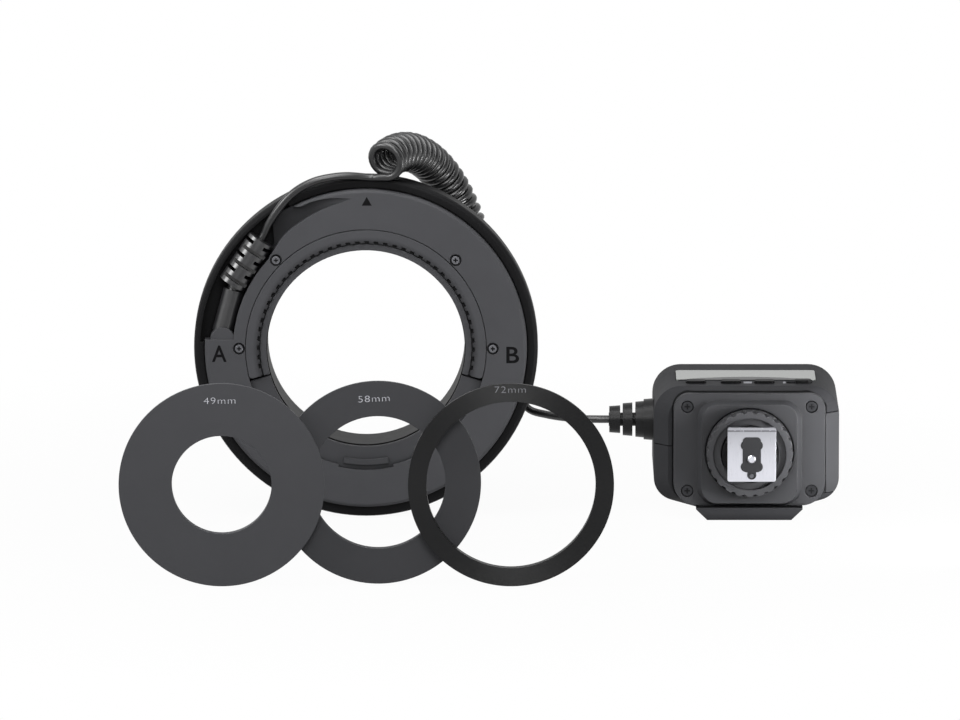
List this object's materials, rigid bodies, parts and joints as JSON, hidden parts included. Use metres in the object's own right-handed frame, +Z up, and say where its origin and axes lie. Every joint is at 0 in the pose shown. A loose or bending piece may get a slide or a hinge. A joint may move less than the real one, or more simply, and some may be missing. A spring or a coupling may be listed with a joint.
{
  "type": "macro ring flash",
  "caption": "Macro ring flash with a round lamp head, a curly cord, a hot-shoe controller and loose lens adapter rings.",
  "frame": {"origin": "on the lens axis, at the seat where an adapter ring sits behind the lamp head", "axes": "+Y along the lens axis towards the subject, +Z up, +X to the viewer's right; the picture looks along +Y"},
  "size_m": [0.2738, 0.1942, 0.1485],
  "materials": {
    "housing_black": "fine satin",
    "cover_grey": "fine satin",
    "bright_steel": "bright",
    "screw_black": "blackened",
    "diffuser_clear": "ribbed clear",
    "reflector_bright": "bright",
    "tube_glass": "clear",
    "rubber_black": "satin",
    "coil_copper": "varnished",
    "board_green": "lacquered",
    "controller_grey": "fine satin",
    "neck_black": "satin",
    "foot_chrome": "bright",
    "insert_grey": "satin",
    "panel_gloss": "glossy",
    "lcd_grey": "display",
    "cell_grey": "satin",
    "ring_black": "anodised satin"
  },
  "bodies": {
    "flash": {"lamp_housing": "housing_black", "back_cover": "cover_grey", "retainer_plate": "cover_grey", "cover_screws": "bright_steel", "latch_springs": "bright_steel", "door_pin": "bright_steel", "base_screws": "screw_black", "front_diffuser": "diffuser_clear", "reflector_a": "reflector_bright", "reflector_b": "reflector_bright", "flash_tube_a": "tube_glass", "flash_tube_b": "tube_glass", "tube_holders": "rubber_black", "head_strain_relief": "rubber_black", "cord_plug": "rubber_black", "lead_cord": "rubber_black", "curly_cord": "rubber_black", "tail_cord": "rubber_black", "cable_boot": "rubber_black", "trigger_coils": "coil_copper", "boost_transformer": "coil_copper", "head_board": "board_green", "main_board": "board_green", "upper_shell": "controller_grey", "lower_shell": "controller_grey", "base_plate": "controller_grey", "foot_neck": "neck_black", "battery_tray": "neck_black", "flash_capacitor": "neck_black", "shoe_foot": "foot_chrome", "centre_contact": "foot_chrome", "battery_contacts": "foot_chrome", "contact_insert": "insert_grey", "panel_window": "panel_gloss", "lcd_module": "lcd_grey", "cells": "cell_grey"},
    "latch": {"release_latch": "cover_grey"},
    "wheel": {"lock_wheel": "controller_grey"},
    "pin": {"lock_pin": "bright_steel"},
    "left_key": {"left_button": "neck_black"},
    "middle_key": {"middle_button": "neck_black"},
    "right_key": {"right_button": "neck_black"},
    "switch": {"power_switch": "neck_black"},
    "door": {"battery_door": "controller_grey", "door_contact": "foot_chrome"},
    "ring_49": {"adapter_ring_49": "ring_black"},
    "ring_58": {"adapter_ring_58": "ring_black"},
    "ring_72": {"adapter_ring_72": "ring_black"}
  },
  "joints": [
    {"name": "latch_slide", "type": "slide", "parent": "flash", "child": "latch", "axis": [0, 0, -1], "range_m": [0, 0.0015], "stiffness_N_per_m": 500, "springref_m": -0.002, "deforming": ["latch_springs"]},
    {"name": "wheel_turn", "type": "hinge", "parent": "flash", "child": "wheel", "pos_m": [0.1476, -0.012, -0.03925], "axis": [0, -1, 0], "range_deg": [0, 90]},
    {"name": "pin_slide", "type": "slide", "parent": "flash", "child": "pin", "axis": [0, -1, 0], "range_m": [0, 0.0015]},
    {"name": "left_press", "type": "slide", "parent": "flash", "child": "left_key", "axis": [0, 0, -1], "range_m": [0, 0.0007], "stiffness_N_per_m": 400, "springref_m": -0.002},
    {"name": "middle_press", "type": "slide", "parent": "flash", "child": "middle_key", "axis": [0, 0, -1], "range_m": [0, 0.0007], "stiffness_N_per_m": 400, "springref_m": -0.002},
    {"name": "right_press", "type": "slide", "parent": "flash", "child": "right_key", "axis": [0, 0, -1], "range_m": [0, 0.0007], "stiffness_N_per_m": 400, "springref_m": -0.002},
    {"name": "switch_slide", "type": "slide", "parent": "flash", "child": "switch", "axis": [-1, 0, 0], "range_m": [0, 0.003]},
    {"name": "door_turn", "type": "hinge", "parent": "flash", "child": "door", "pos_m": [0.1806, 0.0408, -0.0409], "axis": [0, 0, 1], "range_deg": [0, 90]},
    {"name": "ring_49_lift", "type": "slide", "parent": "flash", "child": "ring_49", "axis": [0, 0, 1], "range_m": [0, 0.06]},
    {"name": "ring_58_lift", "type": "slide", "parent": "flash", "child": "ring_58", "axis": [0, 0, 1], "range_m": [0, 0.06]},
    {"name": "ring_72_lift", "type": "slide", "parent": "flash", "child": "ring_72", "axis": [0, 0, 1], "range_m": [0, 0.06]}
  ],
  "couplings": [
    {"joint": "pin_slide", "follows": "wheel_turn", "m_per_rad": 0.00095493}
  ]
}
